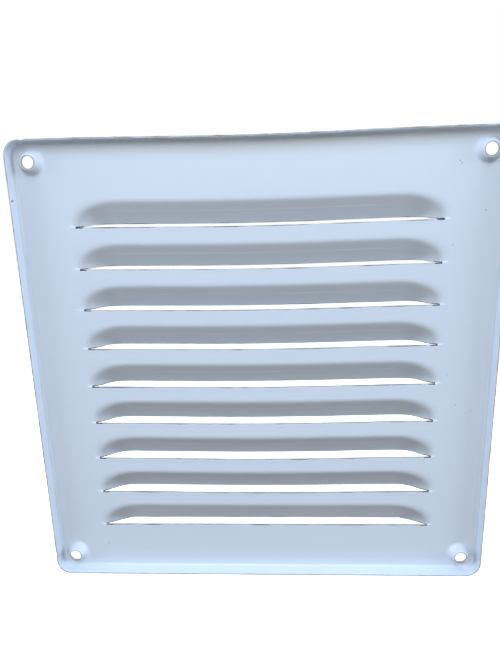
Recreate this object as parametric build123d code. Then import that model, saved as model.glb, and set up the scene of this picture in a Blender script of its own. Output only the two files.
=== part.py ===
from build123d import *
import os
from math import cos, radians, tan, atan2

# Louvred wall grille, pressed from one sheet of steel: a shallow tray with nine hooded slots.
# In the finished frame X runs across, Z is up, the front faces -Y and the wall is behind, at +Y.
# The origin is the centre of the four fixing holes, on the plane of their dimples' tips.
# The sheet is drawn lying flat: X across, Y up the grille, Z forward from the plate's back face.

# Sheet and rim, in millimetres and degrees
sheet = 0.8              # thickness of the steel
width = 200.0            # across the rim's free edge
height = 200.0           # up the rim's free edge
rim_depth = 5.2          # from the plate's back face to the rim's free edge, which meets the wall
rim_flare = 10.0         # the rim leans out by this angle
rim_bend = 1.6           # inside radius where the plate turns into the rim
corner_radius = 7.5      # of the free edge, seen from the front

# Fixing holes, each in the tip of a dimple that is pressed back towards the wall
hole_diameter = 5.0
tip_setback = 1.5        # the tips stop this far short of the wall
tip_flat = 0.1           # flat ring round the hole, inside the tip's bend
dimple_slope = 63.0      # the dimple's side stands at this angle to the plate
dimple_bend = 1.0        # radius of the sheet's middle at the dimple's foot and tip
dimple_gap = 0.22        # flat left between the dimple's foot and the rim's bend

# Louvres
louvre_count = 9
louvre_pitch = 17.5
cut_length = 151.2       # straight cut along the bottom of each hood
hood_height = 10.7       # from the cut up to the fold at the hood's root
hood_depth = 6.0         # from the plate's back face to the inner edge of the lip
lip_rise = 0.75          # the lip stands this far above the cut's lower edge
kerf = 0.35              # width of the slit at the cut's ends
root_overrun = 1.4       # the hood's root reaches this far past each end of the cut
root_round = 18.5        # length of the rounded end of the root
lip_ramp = 10.0          # length over which the lip drops to the plate at each end
lip_round = 6.0          # length of the rounded end of the lip
root_bend = 3.7          # inside radius of the fold at the hood's root

# Rim: thickness of the leaning wall, and how far in from the free edge the flat plate starts
rim_wall = sheet / cos(radians(rim_flare))
rim_foot = rim_wall + rim_depth * tan(radians(rim_flare)) + rim_bend * tan(radians(90 - rim_flare) / 2)

# Dimples: corners of the sheet's middle line, before they are rounded, and the pattern's spacing
dimple_height = rim_depth - tip_setback
bend_length = dimple_bend * tan(radians(dimple_slope) / 2)
tip_corner = hole_diameter / 2 + tip_flat + bend_length
foot_corner = tip_corner + dimple_height / tan(radians(dimple_slope))
foot_radius = foot_corner + bend_length
hole_inset = rim_foot + dimple_gap + foot_radius
hole_spacing_x = width - 2 * hole_inset
hole_spacing_z = height - 2 * hole_inset
socket_radius = foot_radius + dimple_gap / 2

# Louvres: half lengths of the root and the lip, and the panel of plate that each one takes up
hood_angle = atan2(hood_depth, hood_height - lip_rise)
root_half = cut_length / 2 + root_overrun
lip_half = root_half - lip_ramp
bend_reach = (root_bend + sheet) * tan(hood_angle / 2)
panel_margin = bend_reach + sheet
panel_width = 2 * (root_half + panel_margin)
panel_height = hood_height + panel_margin
first_cut = -((louvre_count - 1) * louvre_pitch + hood_height + bend_reach) / 2

# Depth of every cutting tool, enough to pass through the whole pressing
through = 2 * (hood_depth + rim_depth)


def tray():
    """Plate with its rim: a flared dish of even thickness, open to the back."""
    outside = RectangleRounded(width, height, corner_radius)
    shell = extrude(Pos(0, 0, -rim_depth) * outside, rim_depth + sheet, taper=rim_flare)
    shell = fillet(shell.faces().sort_by(Axis.Z)[-1].edges(), rim_bend + sheet)
    inside = RectangleRounded(width - 2 * rim_wall, height - 2 * rim_wall, corner_radius - rim_wall)
    hollow = extrude(Pos(0, 0, -rim_depth) * inside, rim_depth, taper=rim_flare)
    hollow = fillet(hollow.faces().sort_by(Axis.Z)[-1].edges(), rim_bend)
    return shell - hollow


def oval(half_length, end_length, half_height, depth):
    """Flat oval with elliptical ends, centred on the cut, at one depth of the hood."""
    straight = half_length - end_length
    outline = [
        Line((-straight, half_height), (straight, half_height)),
        EllipticalCenterArc((straight, 0), end_length, half_height, -90, arc_size=180),
        Line((straight, -half_height), (-straight, -half_height)),
        EllipticalCenterArc((-straight, 0), end_length, half_height, 90, arc_size=180),
    ]
    return Pos(0, 0, depth) * make_face(outline)


def hood_form(start, grow):
    """Tapered form of a hood and its mirror image, from a depth of start, grown sideways by grow."""
    crest_height = lip_rise / 2
    crest = hood_depth * (hood_height - crest_height) / (hood_height - lip_rise)
    crest = crest + start / cos(hood_angle)
    root = oval(root_half + grow, root_round + grow, hood_height + grow, start)
    top = oval(lip_half, lip_round, crest_height, crest)
    return loft([root, top], ruled=True)


def mouth():
    """Wedge that opens the hood downwards: a slit at the cut's ends, wider towards the lip."""
    opening = Polyline(
        (0, -through),
        (0, through),
        (kerf + (lip_rise - kerf) * through / hood_depth, through),
        (kerf, 0),
        (kerf, -through),
        close=True,
    )
    return extrude(Plane.YZ * make_face(opening), cut_length / 2, both=True)


def upper_half(depth):
    """Block that stands on the cut and covers one louvre's panel."""
    return Box(panel_width, panel_height, depth, align=(Align.CENTER, Align.MIN, Align.CENTER))


def louvre_panel():
    """Panel of the plate with its cut along the bottom and its hood pressed forward."""
    flat = Box(panel_width, 2 * panel_height, sheet, align=(Align.CENTER, Align.CENTER, Align.MIN))
    formed = flat + hood_form(sheet, sheet * tan(hood_angle / 2))
    front_face = formed.faces().filter_by(Plane.XY).sort_by(SortBy.AREA)[-2:].sort_by(Axis.Z)[-1]
    formed = fillet(front_face.inner_wires()[0].edges(), root_bend)
    formed = formed - hood_form(0, 0)
    back_face = formed.faces().filter_by(Plane.XY).sort_by(Axis.Z)[0]
    formed = fillet(back_face.inner_wires()[0].edges(), root_bend + sheet)
    return (formed & upper_half(through)) - mouth()


def dimple():
    """Ring of sheet that rises from the plate to the fixing hole, turned about the hole's axis."""
    middle = sheet / 2
    section = FilletPolyline(
        (socket_radius, middle),
        (foot_corner, middle),
        (tip_corner, middle - dimple_height),
        (hole_diameter / 2, middle - dimple_height),
        radius=dimple_bend,
    )
    return revolve(Plane.XZ * trace(section, sheet), Axis.Z)


def grille():
    """The whole pressing, lying flat."""
    plate = tray()
    panel = louvre_panel()
    rows = [Pos(0, first_cut + row * louvre_pitch, 0) for row in range(louvre_count)]
    plate = plate - [row * upper_half(through) for row in rows]
    plate = plate + [row * panel for row in rows]
    corners = GridLocations(hole_spacing_x, hole_spacing_z, 2, 2).locations
    plate = plate - [corner * Cylinder(socket_radius, through) for corner in corners]
    return plate + [corner * dimple() for corner in corners]


upright = Pos(0, -dimple_height, 0) * Rot(90, 0, 0) * grille()
os.makedirs("parts", exist_ok=True)
export_step(upright, "parts/grille.step")
print("hole spacing", round(hole_spacing_x, 3), "by", round(hole_spacing_z, 3))
print("volume", round(upright.volume, 1), "solids", len(upright.solids()), upright.bounding_box())
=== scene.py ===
from math import atan2, cos, pi, radians, sin, tan

import bmesh
import bpy
import numpy as np
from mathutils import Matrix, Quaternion, Vector


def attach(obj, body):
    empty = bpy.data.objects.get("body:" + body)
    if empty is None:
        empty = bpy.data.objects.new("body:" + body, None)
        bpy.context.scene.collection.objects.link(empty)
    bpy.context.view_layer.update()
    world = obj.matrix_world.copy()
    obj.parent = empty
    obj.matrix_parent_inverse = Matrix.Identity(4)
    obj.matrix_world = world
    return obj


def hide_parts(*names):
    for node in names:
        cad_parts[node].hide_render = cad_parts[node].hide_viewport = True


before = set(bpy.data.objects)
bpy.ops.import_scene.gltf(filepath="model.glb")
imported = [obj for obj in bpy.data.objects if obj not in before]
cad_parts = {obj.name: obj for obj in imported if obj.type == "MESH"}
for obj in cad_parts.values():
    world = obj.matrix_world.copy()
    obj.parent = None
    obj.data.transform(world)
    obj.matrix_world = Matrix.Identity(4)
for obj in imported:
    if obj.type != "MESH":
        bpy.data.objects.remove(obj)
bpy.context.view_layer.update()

# Sizes of the pressing in millimetres, with angles in radians. They are those of the solid, apart from the
# rim's bend, the corner radius, the dimples' bends, and the hoods' folds, root middle and crest length.
SHEET = 0.8
HALF_SIZE = 100.0
RIM_DEPTH = 5.2
RIM_FLARE = radians(10)
RIM_BEND = 1.0
CORNER_RADIUS = 6.7
HOLE_RADIUS = 2.5
HOLE_PLACE = 91.0
TIP_HEIGHT = 3.7
TIP_FLAT = 0.1
DIMPLE_SLOPE = radians(63)
TIP_BEND = 0.55
FOOT_BEND = 1.65
DIMPLE_EDGE = 5.85
TIP_CORNER = HOLE_RADIUS + TIP_FLAT + TIP_BEND * tan(DIMPLE_SLOPE / 2)
FOOT_CORNER = TIP_CORNER + TIP_HEIGHT / tan(DIMPLE_SLOPE)
CUT_HALF = 75.6
CUT_COUNT = 9
CUT_PITCH = 17.5
FIRST_CUT = -75.98
KERF = 0.35
LIP_RISE = 0.75
HOOD_DEPTH = 6.0
ROOT_HEIGHT = 10.7
ROOT_STRAIGHT = 58.5
ROOT_END = 18.5
ROOT_MIDDLE = 1.2
CREST_HEIGHT = LIP_RISE / 2
CREST_STRAIGHT = 58.0
CREST_END = 6.0
HOOD_ANGLE = atan2(HOOD_DEPTH, ROOT_HEIGHT - LIP_RISE)
FOLD_RADIUS = 3.4
END_FOLD_RADIUS = 7.0

# Closed stretch at each end of a cut, stretch over which the lip rises after it, and the band beside it
# with worn paint, and with painted shade along the closed stretch
CUT_CLOSED = 3.0
LIP_FADE = 5.0
WORN_AND_SHADED_EDGE = 0.36

# The flat of the plate ends where the rim's bend starts
BEND_RADIUS = RIM_BEND + SHEET / 2
BEND_LENGTH = BEND_RADIUS * tan((pi / 2 - RIM_FLARE) / 2)
RIM_LEAN = (RIM_DEPTH + SHEET / 2) * tan(RIM_FLARE)
FLAT_HALF = HALF_SIZE - SHEET / cos(RIM_FLARE) / 2 - RIM_LEAN - BEND_LENGTH
FLAT_CORNER = CORNER_RADIUS - (HALF_SIZE - FLAT_HALF)
CORNER_STEPS = 12
CORNER_START = 2 * HOLE_PLACE - FLAT_HALF

# Grid lines of the mesh: each stretch ends at a stop and is split into steps
HALF_COLUMNS = [(56, 12), (CUT_HALF, 34), (79.2, 7), (CORNER_START, 4), (FLAT_HALF, CORNER_STEPS)]
HOOD_TOP = 12.4
HOOD_ROWS = [(WORN_AND_SHADED_EDGE, 1), (HOOD_TOP, 20)]
STRIP_ROWS = [(-0.9, 1), (-WORN_AND_SHADED_EDGE, 2), (0, 1)]

# Each louvre came out of the press a little differently, from the bottom one up: share of the hood's
# full depth, how far the lip stands above the cut, and how far the cut lies above its place, all of it
# up to SHIFT_REACH less SHIFT_FADE from the cut and none from SHIFT_REACH on
PRESSED = [
    (0.97, 0.05, -0.1),
    (1.0, 0.45, -0.1),
    (1.0, 0.75, -0.2),
    (1.0, 0.75, -0.15),
    (1.0, 0.75, -0.15),
    (1.0, 0.75, -0.05),
    (1.0, 0.6, 0.0),
    (1.0, 0.55, 0.15),
    (1.0, 0.6, 0.4),
]
SHIFT_REACH = 20.0
SHIFT_FADE = 7.0

PLATE_Y = -TIP_HEIGHT
MILLIMETRE = 0.001

# Places of the materials in the mesh's list
ENAMEL = 0
BARE_EDGE = 1
# enamel beside the cuts: worn in places, with painted shade along their closed ends
WORN_AND_SHADED_ENAMEL = 2

# Nicks in the rim's free edge: place across and up, size, and how far the edge is pushed in each way
RIM_NICKS = [(99.3, -89.5, 1.0, (0.7, 0.0)), (92.1, 99.3, 1.3, (0.0, 0.6))]

# Chips and specks in the paint: place across, back from the holes' plane and up, and radius
PAINT_CHIPS = [
    (98.8, 0.7, 76.0, 0.5),
    (98.6, -0.6, 76.3, 0.3),
    (98.4, -1.6, 76.4, 0.25),
    (-80.2, PLATE_Y, 86.9, 0.2),
    (-81.2, PLATE_Y, 86.0, 0.18),
    (-91.5, PLATE_Y, 67.6, 0.22),
    (-79.4, PLATE_Y, 53.9, 0.18),
    (-80.2, PLATE_Y, -2.0, 0.2),
    (-84.7, PLATE_Y, -16.1, 0.18),
    (-91.6, PLATE_Y, -19.0, 0.2),
    (75.2, PLATE_Y, -86.4, 0.22),
]


def stops(start, stretches):
    """Grid lines from start through each stretch's stop."""
    lines = [start]
    for stop, steps in stretches:
        lines.extend(np.linspace(lines[-1], stop, steps + 1)[1:])
    return np.array(lines)


def between(first, last, share):
    """Value at a share of the way from first to last."""
    return first + (last - first) * share


def smooth_step(value):
    """0 up to 0, 1 from 1 on, and a smooth rise between."""
    share = np.clip(value, 0, 1)
    return share * share * (3 - 2 * share)


def fold(run, radius):
    """Depth after a run past the root line: flat, then an arc, then the hood's straight slope."""
    start = radius * tan(HOOD_ANGLE / 2)
    arc = np.clip(run + start, 0, radius * sin(HOOD_ANGLE))
    bend = radius - np.sqrt(radius ** 2 - arc ** 2)
    return bend + np.maximum(run - start * cos(HOOD_ANGLE), 0) * tan(HOOD_ANGLE)


def hood_depth(across, rise):
    """Depth of a hood's back face at a distance across from its middle and a rise above its cut.

    The hood is ruled between two ovals with elliptical ends: one at its root, whose ends reach out
    furthest a little above the cut, and one at its crest. Halving finds the share of the way from root
    to crest at which the oval passes the point. The share is negative outside the root."""
    furthest_outside = -0.6
    halvings = 24
    low = np.full(across.shape, furthest_outside)
    high = np.ones(across.shape)
    for _ in range(halvings):
        share = (low + high) / 2
        past_straight = np.maximum(np.abs(across) - between(ROOT_STRAIGHT, CREST_STRAIGHT, share), 0)
        end = past_straight / between(ROOT_END, CREST_END, share)
        middle = between(ROOT_MIDDLE, 0, share)
        up = (rise - middle) / (between(ROOT_HEIGHT, CREST_HEIGHT, share) - middle)
        outside = end ** 2 + up ** 2 > 1
        high = np.where(outside, share, high)
        low = np.where(outside, low, share)
    run = low * (ROOT_HEIGHT - CREST_HEIGHT)
    rounding = smooth_step((np.abs(across) - ROOT_STRAIGHT) / ROOT_END)
    return fold(run, between(FOLD_RADIUS, END_FOLD_RADIUS, rounding))


def bent_section(points, radii):
    """Middle line of a bent sheet: its points, with each corner an arc, and its normals."""
    arc_steps = 7
    path = [np.array(points[0], float)]
    headings = []
    for before, corner, after, radius in zip(points, points[1:], points[2:], radii):
        first = np.subtract(corner, before) / np.linalg.norm(np.subtract(corner, before))
        last = np.subtract(after, corner) / np.linalg.norm(np.subtract(after, corner))
        start_angle = atan2(first[1], first[0])
        turn = atan2(first[0] * last[1] - first[1] * last[0], first @ last)
        reach = radius * tan(abs(turn) / 2)
        centre_side = np.array([-first[1], first[0]]) * np.sign(turn) * radius
        centre = np.array(corner) - first * reach + centre_side
        for angle in np.linspace(start_angle, start_angle + turn, arc_steps + 1):
            heading = np.array([cos(angle), sin(angle)])
            side = np.array([heading[1], -heading[0]]) * np.sign(turn) * radius
            path.append(centre + side)
            headings.append(heading)
    path.append(np.array(points[-1], float))
    headings = [headings[0]] + headings + [headings[-1]]
    normals = [np.array([-heading[1], heading[0]]) for heading in headings]
    return np.array(path), np.array(normals)


class SheetMesh:
    """Points of a sheet's two faces, as (across, up, depth), and the faces that join them."""

    def __init__(self):
        self.points = []
        self.faces = []
        self.materials = []

    def add(self, points):
        """Adds points and returns their numbers."""
        first = len(self.points)
        self.points.extend(np.asarray(points, float).reshape(-1, 3))
        return np.arange(first, len(self.points))

    def strip(self, one, other, material=ENAMEL):
        """Joins two rows of point numbers with a strip of faces."""
        for quad in zip(one[:-1], one[1:], other[1:], other[:-1]):
            corners = list(dict.fromkeys(int(number) for number in quad))
            if len(corners) > 2:
                self.faces.append(corners)
                self.materials.append(material)

    def build(self, name, shape, materials):
        """Makes the Blender object, with only the points that its faces use."""
        sharp_angle = radians(38)
        used, numbers = np.unique(np.concatenate(self.faces), return_inverse=True)
        sizes = [len(face) for face in self.faces]
        faces = [list(part) for part in np.split(numbers, np.cumsum(sizes)[:-1])]
        across, up, depth = shape(np.array(self.points)[used]).T
        places = np.stack([across, PLATE_Y - depth, up], axis=1) * MILLIMETRE
        mesh = bpy.data.meshes.new(name)
        mesh.from_pydata(places.tolist(), [], faces)
        for material in materials:
            mesh.materials.append(material)
        mesh.polygons.foreach_set("material_index", self.materials)
        mesh.polygons.foreach_set("use_smooth", [True] * len(faces))
        sheet = bmesh.new()
        sheet.from_mesh(mesh)
        bmesh.ops.recalc_face_normals(sheet, faces=sheet.faces)
        sheet.to_mesh(mesh)
        sheet.free()
        mesh.set_sharp_from_angle(angle=sharp_angle)
        piece = bpy.data.objects.new(name, mesh)
        bpy.context.scene.collection.objects.link(piece)
        return piece


def plate_rows():
    """Rows of the plate's grid from the bottom up.

    Each is the number of its cut, its rise above the cut, and whether it is on the hood's side of it."""
    rows = []
    lowest = stops(-FLAT_HALF - FIRST_CUT, [(-CORNER_START - FIRST_CUT, CORNER_STEPS), *STRIP_ROWS])
    for number in range(CUT_COUNT):
        cut = FIRST_CUT + number * CUT_PITCH
        below = lowest if number == 0 else stops(HOOD_TOP - CUT_PITCH, STRIP_ROWS)[1:]
        rows += [(number, rise, False) for rise in below]
        rows += [(number, rise, True) for rise in stops(0, HOOD_ROWS)]
    above = stops(HOOD_TOP, [(CORNER_START - cut, 3), (FLAT_HALF - cut, CORNER_STEPS)])[1:]
    rows += [(number, rise, True) for rise in above]
    return rows


def row_points(across, number, rise, in_hood):
    """One row's points on the back face of the sheet and on its front face."""
    depth_share, lip_rise, shift = PRESSED[number]
    cut = FIRST_CUT + number * CUT_PITCH

    def depth_at(across, up):
        return depth_share * hood_depth(across, up) if in_hood else np.zeros(across.shape)

    up = np.full(across.shape, float(rise))
    if in_hood:
        lip = KERF + (lip_rise - KERF) * hood_depth(across, np.full(across.shape, LIP_RISE)) / HOOD_DEPTH
        lip = lip * smooth_step((CUT_HALF - CUT_CLOSED - np.abs(across)) / LIP_FADE)
        up = up + lip * max(1 - rise / HOOD_TOP, 0)
    nudge = 0.02
    slope_across = (depth_at(across + nudge, up) - depth_at(across - nudge, up)) / (2 * nudge)
    slope_up = (depth_at(across, up + nudge) - depth_at(across, up - nudge)) / (2 * nudge)
    normals = np.stack([-slope_across, -slope_up, np.ones(across.shape)], axis=1)
    normals /= np.linalg.norm(normals, axis=1)[:, None]
    near_cut = smooth_step((SHIFT_REACH - abs(rise)) / SHIFT_FADE)
    back = np.stack([across, cut + up + shift * near_cut, depth_at(across, up)], axis=1)
    return back, back + SHEET * normals


def corner_outline():
    """Outer side of a corner of the flat, from its straight part to the middle of the corner."""
    centre = FLAT_HALF - FLAT_CORNER
    straight = centre - CORNER_START
    lengths = np.linspace(0, straight + FLAT_CORNER * pi / 4, CORNER_STEPS + 1)
    angles = np.maximum(lengths - straight, 0) / FLAT_CORNER
    along = np.minimum(CORNER_START + lengths, centre) + FLAT_CORNER * np.sin(angles)
    return along, centre + FLAT_CORNER * np.cos(angles)


def loop_of(numbers, rows, columns):
    """Point numbers round the border of a block of the grid, closed."""
    border = [
        numbers[rows[0], columns[:-1]],
        numbers[rows[:-1], columns[-1]],
        numbers[rows[-1], columns[:0:-1]],
        numbers[rows[:0:-1], columns[0]],
        [numbers[rows[0], columns[0]]],
    ]
    return np.concatenate(border)


def plate(sheet):
    """Plate with its hoods and slots.

    Returns the point numbers of its back and front grids, and the blocks of the grid at its corners."""
    half = stops(0, HALF_COLUMNS)
    across = np.concatenate([-half[:0:-1], half])
    rows = plate_rows()
    grids = np.array([row_points(across, *row) for row in rows]).transpose(1, 0, 2, 3)
    outer = np.arange(-CORNER_STEPS - 1, 0)
    corners = []
    along, outward = corner_outline()
    for right in (-1, 1):
        for top in (-1, 1):
            columns = outer % len(across) if right > 0 else -1 - outer
            lines = outer % len(rows) if top > 0 else -1 - outer
            corners.append((right, top, lines, columns))
            grids[:, lines[-1], columns, :2] = np.stack([right * along, top * outward], axis=1)
            grids[:, lines, columns[-1], :2] = np.stack([right * outward, top * along], axis=1)

    inner_rows = range(CORNER_STEPS, len(rows) - 1 - CORNER_STEPS)
    inside = slice(CORNER_STEPS, len(across) - CORNER_STEPS)
    hair = 0.01
    cut_columns = np.flatnonzero(np.abs(across) < CUT_HALF + hair)
    joined = np.abs(across) > CUT_HALF - hair
    sides = []
    for grid in grids:
        numbers = sheet.add(grid).reshape(len(rows), len(across))
        for line, (_, rise, in_hood) in enumerate(rows):
            if in_hood and rise == 0:
                numbers[line, joined] = numbers[line - 1, joined]
        for line in range(len(rows) - 1):
            if rows[line + 1][2] and rows[line + 1][1] == 0:
                continue
            columns = slice(None) if line in inner_rows else inside
            wear_and_shade = 0 in (rows[line][1], rows[line + 1][1])
            material = WORN_AND_SHADED_ENAMEL if wear_and_shade else ENAMEL
            sheet.strip(numbers[line, columns], numbers[line + 1, columns], material)
        sides.append(numbers)
    back, front = sides
    for line, (_, rise, _) in enumerate(rows):
        if rise == 0:
            sheet.strip(back[line, cut_columns], front[line, cut_columns], BARE_EDGE)
    return back, front, corners


def dimple(sheet, right, top, loops):
    """Dimple and fixing hole in one corner, inside the borders of the back and front grids."""
    bare_rings = 3
    middle = SHEET / 2
    section = [
        (HOLE_RADIUS, middle - TIP_HEIGHT),
        (TIP_CORNER, middle - TIP_HEIGHT),
        (FOOT_CORNER, middle),
        (DIMPLE_EDGE, middle),
    ]
    path, normals = bent_section(section, [TIP_BEND, FOOT_BEND])
    hole_edges = []
    for loop, side in zip(loops, (-1, 1)):
        border = np.array([sheet.points[number] for number in loop])
        angles = np.arctan2(border[:, 1] - top * HOLE_PLACE, border[:, 0] - right * HOLE_PLACE)
        outside = loop
        rings = (path + side * normals * SHEET / 2)[::-1]
        for place, (radius, depth) in enumerate(rings):
            across = right * HOLE_PLACE + radius * np.cos(angles)
            up = top * HOLE_PLACE + radius * np.sin(angles)
            numbers = sheet.add(np.stack([across, up, np.full(angles.shape, depth)], axis=1))
            numbers[-1] = numbers[0]
            bare = place >= len(rings) - bare_rings
            sheet.strip(outside, numbers, BARE_EDGE if bare else ENAMEL)
            outside = numbers
        hole_edges.append(outside)
    sheet.strip(*hole_edges, BARE_EDGE)


def rim(sheet, back_loop, front_loop):
    """Rim turned back all round the flat, with its free edge eased."""
    ease = 0.12
    end = (BEND_LENGTH + RIM_LEAN - ease * sin(RIM_FLARE), ease * cos(RIM_FLARE) - RIM_DEPTH)
    path, normals = bent_section([(0, SHEET / 2), (BEND_LENGTH, SHEET / 2), end], [BEND_RADIUS])
    heading = np.array([sin(RIM_FLARE), -cos(RIM_FLARE)])
    shoulder = normals[-1] * (SHEET / 2 - ease)
    section = list(path[1:] - normals[1:] * SHEET / 2)
    free_edge = len(section) + 1
    section += [path[-1] + heading * ease - shoulder, path[-1] + heading * ease + shoulder]
    section += list((path[1:] + normals[1:] * SHEET / 2)[::-1])
    border = np.array([sheet.points[number] for number in back_loop])[:, :2]
    outward = border - np.clip(border, FLAT_CORNER - FLAT_HALF, FLAT_HALF - FLAT_CORNER)
    outward /= np.linalg.norm(outward, axis=1)[:, None]
    inside = back_loop
    for place, (reach, depth) in enumerate(section):
        row = np.column_stack([border + outward * reach, np.full(len(border), depth)])
        numbers = sheet.add(row)
        numbers[-1] = numbers[0]
        sheet.strip(inside, numbers, BARE_EDGE if place == free_edge else ENAMEL)
        inside = numbers
    sheet.strip(inside, front_loop)


def settle(points):
    """Sag of the upper part between the sides, and the rim's nicks: the real sheet isn't quite true."""
    sag = 0.9
    half_span = 84.0
    full_sag = 1.5 * CUT_PITCH
    nick_start = 1.0
    nick_fade = 3.0
    across, up, depth = points.T
    upper = smooth_step((up - FIRST_CUT) / full_sag)
    middle = np.cos(np.clip(across / half_span, -1, 1) * pi / 2) ** 2
    sagged = up - sag * middle * upper
    moved = np.column_stack([across, sagged, depth])
    for nick_across, nick_up, size, dent in RIM_NICKS:
        reach = np.hypot(across - nick_across, up - nick_up)
        near = np.exp(-(reach / size) ** 2) * smooth_step((-nick_start - depth) / nick_fade)
        moved[:, 0] -= np.sign(nick_across) * dent[0] * near
        moved[:, 1] -= np.sign(nick_up) * dent[1] * near
    return moved


def add_node(material, kind, **inputs):
    """New shader node with some of its inputs set, or linked where the value is a socket."""
    node = material.node_tree.nodes.new(kind)
    for name, value in inputs.items():
        socket = node.inputs[name.replace("_", " ")]
        if isinstance(value, bpy.types.NodeSocket):
            material.node_tree.links.new(value, socket)
        else:
            socket.default_value = value
    return node


def math(material, operation, first, second=0.0):
    """Result of a sum on two values or sockets."""
    node = material.node_tree.nodes.new("ShaderNodeMath")
    node.operation = operation
    for socket, value in zip(node.inputs, (first, second)):
        if isinstance(value, bpy.types.NodeSocket):
            material.node_tree.links.new(value, socket)
        else:
            socket.default_value = value
    return node.outputs[0]


def new_material(name):
    """New material and its shader."""
    material = bpy.data.materials.new(name)
    material.use_nodes = True
    return material, material.node_tree.nodes["Principled BSDF"]


def noise(material, place, scale, detail=2.0):
    """Noise from 0 to 1, with about scale lumps to a metre."""
    node = add_node(material, "ShaderNodeTexNoise", Vector=place, Scale=scale, Detail=detail)
    return node.outputs["Fac"]


def ramp(material, value, low, high):
    """Value stretched so that low becomes 0 and high becomes 1."""
    node = add_node(material, "ShaderNodeMapRange", Value=value, From_Min=low, From_Max=high)
    return node.outputs["Result"]


def blend(material, share, first, second):
    """Colour between two colours, or between sockets."""
    node = material.node_tree.nodes.new("ShaderNodeMix")
    node.data_type = "RGBA"
    for socket, value in ((node.inputs[0], share), (node.inputs[6], first), (node.inputs[7], second)):
        if isinstance(value, bpy.types.NodeSocket):
            material.node_tree.links.new(value, socket)
        else:
            socket.default_value = value
    return node.outputs[2]


def chip_mask(material, place):
    """1 inside the paint's chips, with ragged edges, and 0 elsewhere."""
    ragged = noise(material, place, 2500.0)
    mask = 0.0
    for across, back, up, radius in PAINT_CHIPS:
        away = material.node_tree.nodes.new("ShaderNodeVectorMath")
        away.operation = "DISTANCE"
        material.node_tree.links.new(place, away.inputs[0])
        away.inputs[1].default_value = (across * MILLIMETRE, back * MILLIMETRE, up * MILLIMETRE)
        reach = math(material, "MULTIPLY", ragged, 2 * radius * MILLIMETRE)
        mask = math(material, "MAXIMUM", mask, math(material, "LESS_THAN", away.outputs["Value"], reach))
    return mask


def fold_painted_shade(material, place):
    """Share of painted shade along the folds at the two sides, on both faces and a little way up the rim:
    darker where the side walls meet the plate.
    """
    shade_start = 88.0
    shade_full = 98.5
    rim_unshaded = -2.0
    rim_shaded = -3.4
    most = 0.6
    parts = add_node(material, "ShaderNodeSeparateXYZ", Vector=place)
    aside = math(material, "ABSOLUTE", parts.outputs["X"])
    near_fold = ramp(material, aside, shade_start * MILLIMETRE, shade_full * MILLIMETRE)
    near_fold = math(material, "POWER", near_fold, 2.0)
    low = ramp(material, parts.outputs["Y"], rim_unshaded * MILLIMETRE, rim_shaded * MILLIMETRE)
    return math(material, "MULTIPLY", math(material, "MULTIPLY", near_fold, low), most)


def back_side(material):
    """1 on the back of the sheet, 0 on its front."""
    normal = add_node(material, "ShaderNodeTexCoord").outputs["Normal"]
    backwards = add_node(material, "ShaderNodeSeparateXYZ", Vector=normal).outputs["Y"]
    return ramp(material, backwards, 0.0, 0.3)


def painted_reflection_line(material, place):
    """Share of a painted reflection: a faint lighter line along the back of each hood."""
    line_depth = 2.6
    half_width = 0.3
    line_full = 55.0
    line_end = 63.0
    strength = 0.5
    parts = add_node(material, "ShaderNodeSeparateXYZ", Vector=place)
    below = math(material, "SUBTRACT", parts.outputs["Y"], (PLATE_Y - line_depth) * MILLIMETRE)
    away = math(material, "ABSOLUTE", below)
    line = ramp(material, away, half_width * MILLIMETRE, 0.0)
    aside = math(material, "ABSOLUTE", parts.outputs["X"])
    along = ramp(material, aside, line_end * MILLIMETRE, line_full * MILLIMETRE)
    line = math(material, "MULTIPLY", line, along)
    broken = ramp(material, noise(material, place, 45.0), 0.35, 0.6)
    line = math(material, "MULTIPLY", math(material, "MULTIPLY", line, broken), back_side(material))
    return math(material, "MULTIPLY", line, strength)


def pocket_painted_shade(material, place):
    """Share of painted shade in the hoods' pockets, most at their ends, on the back of the sheet only."""
    end_start = 50.0
    end_full = 68.0
    middle_share = 0.55
    unshaded_depth = 0.2
    shaded_depth = 1.2
    most = 0.6
    parts = add_node(material, "ShaderNodeSeparateXYZ", Vector=place)
    aside = math(material, "ABSOLUTE", parts.outputs["X"])
    near_end = ramp(material, aside, end_start * MILLIMETRE, end_full * MILLIMETRE)
    near_end = math(material, "MAXIMUM", near_end, middle_share)
    unshaded = (PLATE_Y - unshaded_depth) * MILLIMETRE
    shaded = (PLATE_Y - shaded_depth) * MILLIMETRE
    sunken = ramp(material, parts.outputs["Y"], unshaded, shaded)
    pocket = math(material, "MULTIPLY", near_end, sunken)
    pocket = math(material, "MULTIPLY", pocket, back_side(material))
    return math(material, "MULTIPLY", pocket, most)


def edge_wear_and_slit_shade(material, place, paint):
    """Colour of the paint beside a cut: rubbed off here and there, with painted shade, nearly black, all
    along the closed ends.
    """
    bare_metal = (0.13, 0.11, 0.1, 1)
    painted_slit_shade = (0.012, 0.014, 0.02, 1)
    along = add_node(material, "ShaderNodeSeparateXYZ", Vector=place).outputs["X"]
    aside = math(material, "ABSOLUTE", along)
    inside_cut = math(material, "LESS_THAN", aside, CUT_HALF * MILLIMETRE)
    closed = math(material, "GREATER_THAN", aside, (CUT_HALF - CUT_CLOSED) * MILLIMETRE)
    rubbed = ramp(material, noise(material, place, 90.0, 3.0), 0.45, 0.7)
    colour = blend(material, math(material, "MULTIPLY", rubbed, inside_cut), paint, bare_metal)
    # painted shade: nearly black along the closed ends of each cut
    return blend(material, math(material, "MULTIPLY", closed, inside_cut), colour, painted_slit_shade)


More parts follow.
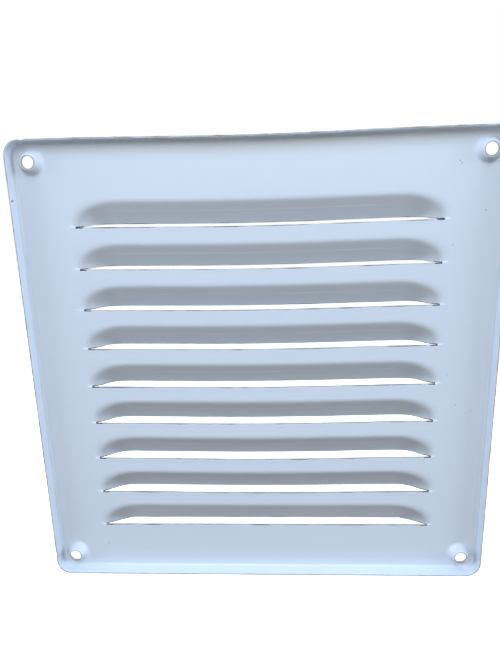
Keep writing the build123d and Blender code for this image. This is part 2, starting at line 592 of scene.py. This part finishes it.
def enamel(name, wear_and_shade=False):
    """Glossy white enamel with a faint orange peel, a little uneven and chipped in places, with painted
    shade at the side folds and in the hoods' pockets, a painted reflection line along each hood, and in
    the worn variant worn paint and painted shade beside the cuts.
    """
    darker = (0.69, 0.75, 0.84, 1)
    lighter = (0.715, 0.775, 0.865, 1)
    painted_shade_grey = (0.42, 0.43, 0.46, 1)
    painted_reflection_colour = (0.8, 0.84, 0.9, 1)
    rusty = (0.10, 0.075, 0.055, 1)
    material, shader = new_material(name)
    place = add_node(material, "ShaderNodeTexCoord").outputs["Object"]
    tone = noise(material, place, 14.0)
    paint = blend(material, tone, darker, lighter)
    # painted shade: grey at the foot of the side walls and in the hoods' pockets
    painted_shade = math(material, "MAXIMUM", fold_painted_shade(material, place), pocket_painted_shade(material, place))
    paint = blend(material, painted_shade, paint, painted_shade_grey)
    # painted reflection: a faint lighter line along each hood
    paint = blend(material, painted_reflection_line(material, place), paint, painted_reflection_colour)
    chips = chip_mask(material, place)
    colour = blend(material, chips, paint, rusty)
    if wear_and_shade:
        colour = edge_wear_and_slit_shade(material, place, colour)
    material.node_tree.links.new(colour, shader.inputs["Base Color"])
    gloss = add_node(material, "ShaderNodeMapRange", Value=noise(material, place, 60.0, 3.0))
    gloss.inputs["To Min"].default_value = 0.2
    gloss.inputs["To Max"].default_value = 0.26
    shader.inputs["Specular IOR Level"].default_value = 0.28
    material.node_tree.links.new(gloss.outputs["Result"], shader.inputs["Roughness"])
    peel = noise(material, place, 420.0)
    dents = noise(material, place, 40.0, 1.0)
    height = math(material, "ADD", peel, math(material, "MULTIPLY", dents, 6.0))
    bump = add_node(material, "ShaderNodeBump", Height=height, Strength=0.25, Distance=0.00006)
    material.node_tree.links.new(bump.outputs["Normal"], shader.inputs["Normal"])
    return material


def bare_edge():
    """Sheared edge of the sheet: dull steel under thin paint, brown with rust in places."""
    material, shader = new_material("bare_edge")
    place = add_node(material, "ShaderNodeTexCoord").outputs["Object"]
    steel = (0.46, 0.47, 0.48, 1)
    brown = (0.24, 0.19, 0.15, 1)
    rust = ramp(material, noise(material, place, 150.0, 4.0), 0.4, 0.7)
    colour = blend(material, rust, steel, brown)
    material.node_tree.links.new(colour, shader.inputs["Base Color"])
    material.node_tree.links.new(ramp(material, rust, -1.0, 1.2), shader.inputs["Roughness"])
    return material


def grille_sheet():
    """The whole pressing as one closed sheet."""
    sheet = SheetMesh()
    back, front, corners = plate(sheet)
    for right, top, lines, columns in corners:
        dimple(sheet, right, top, [loop_of(numbers, lines, columns) for numbers in (back, front)])
    lines = np.arange(back.shape[0])
    columns = np.arange(back.shape[1])
    rim(sheet, loop_of(back, lines, columns), loop_of(front, lines, columns))
    materials = [enamel("enamel"), bare_edge(), enamel("worn_and_shaded_enamel", wear_and_shade=True)]
    return sheet.build("grille_sheet", settle, materials)


def floor():
    """Pale floor below the grille, white from a little way off.

    It gives back only a little warm light, because more would wash out the hoods, which face down."""
    size = 6.0
    drop = 0.35
    given_back = (0.075, 0.045, 0.02, 1)
    shown = (0.9, 0.9, 0.9, 1)
    glow_start = 0.33
    glow_full = 0.8
    mesh = bpy.data.meshes.new("floor")
    corners = [(-size, -size, -drop), (size, -size, -drop), (size, size, -drop), (-size, size, -drop)]
    mesh.from_pydata(corners, [], [(0, 1, 2, 3)])
    material, shader = new_material("pale_floor")
    seen = background_rays(material)
    shade = blend(material, seen, given_back, shown)
    material.node_tree.links.new(shade, shader.inputs["Base Color"])
    place = add_node(material, "ShaderNodeTexCoord").outputs["Object"]
    away = add_node(material, "ShaderNodeVectorMath", Vector=place)
    away.operation = "LENGTH"
    glow = math(material, "MULTIPLY", seen, ramp(material, away.outputs["Value"], glow_start, glow_full))
    material.node_tree.links.new(glow, shader.inputs["Emission Strength"])
    shader.inputs["Emission Color"].default_value = (1, 1, 1, 1)
    shader.inputs["Roughness"].default_value = 1.0
    shader.inputs["Specular IOR Level"].default_value = 0.0
    mesh.materials.append(material)
    piece = bpy.data.objects.new("floor", mesh)
    bpy.context.scene.collection.objects.link(piece)
    return piece


def background_rays(holder):
    """1 for rays that show the background: seen directly, in gloss or through glass."""
    path = holder.node_tree.nodes.new("ShaderNodeLightPath")
    seen = math(holder, "MAXIMUM", path.outputs["Is Camera Ray"], path.outputs["Is Glossy Ray"])
    return math(holder, "MAXIMUM", seen, path.outputs["Is Transmission Ray"])


def sky():
    """White background, which lights the grille only faintly."""
    given_off = (0.03, 0.03, 0.03, 1)
    shown = (1, 1, 1, 1)
    world = bpy.data.worlds.new("studio")
    world.use_nodes = True
    bpy.context.scene.world = world
    shade = blend(world, background_rays(world), given_off, shown)
    world.node_tree.links.new(shade, world.node_tree.nodes["Background"].inputs["Color"])


def lamp(name, side, height, power, colour):
    """Square soft lamp that faces the grille, turned aside from its back and up by two angles."""
    distance = 0.9
    size = 0.6
    light = bpy.data.lights.new(name, "AREA")
    light.shape = "SQUARE"
    light.size = size
    light.energy = power
    light.color = colour
    piece = bpy.data.objects.new(name, light)
    towards = Vector((sin(side) * cos(height), cos(side) * cos(height), sin(height)))
    piece.location = distance * towards
    piece.rotation_euler = (-towards).to_track_quat("-Z", "Y").to_euler()
    bpy.context.scene.collection.objects.link(piece)


def camera():
    """Camera of the photograph: behind the grille, above its middle, looking down at it."""
    focal_pixels = 597.81
    image_height = 667
    heading = radians(3.2075)
    pitch = radians(15.6434)
    roll = radians(-1.674)
    place = (-0.00964, 0.24359, 0.08705)
    view = bpy.data.cameras.new("camera")
    view.sensor_width = 36.0
    view.lens = view.sensor_width * focal_pixels / image_height
    view.clip_start = 0.01
    piece = bpy.data.objects.new("camera", view)
    look = Vector((sin(heading) * cos(pitch), -cos(heading) * cos(pitch), -sin(pitch)))
    turn = look.to_track_quat("-Z", "Y") @ Quaternion((0, 0, 1), roll)
    piece.rotation_euler = turn.to_euler()
    piece.location = place
    bpy.context.scene.collection.objects.link(piece)
    bpy.context.scene.camera = piece


grille = grille_sheet()
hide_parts("grille")
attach(grille, "root")
floor()
sky()
lamp("low", 0, radians(20), 1.55, (1.14, 0.98, 0.6))
lamp("high", 0, radians(42), 5.3, (0.82, 1.0, 1.25))
lamp("left", radians(82), radians(15), 5.9, (0.84, 1.0, 1.2))
lamp("right", radians(-82), radians(15), 6.8, (0.84, 1.0, 1.2))
lamp("front_left", radians(150), radians(58), 5.0, (1.0, 0.99, 0.98))
lamp("front_right", radians(-150), radians(58), 4.0, (1.0, 0.99, 0.98))
camera()
bpy.context.scene.view_settings.view_transform = "Standard"
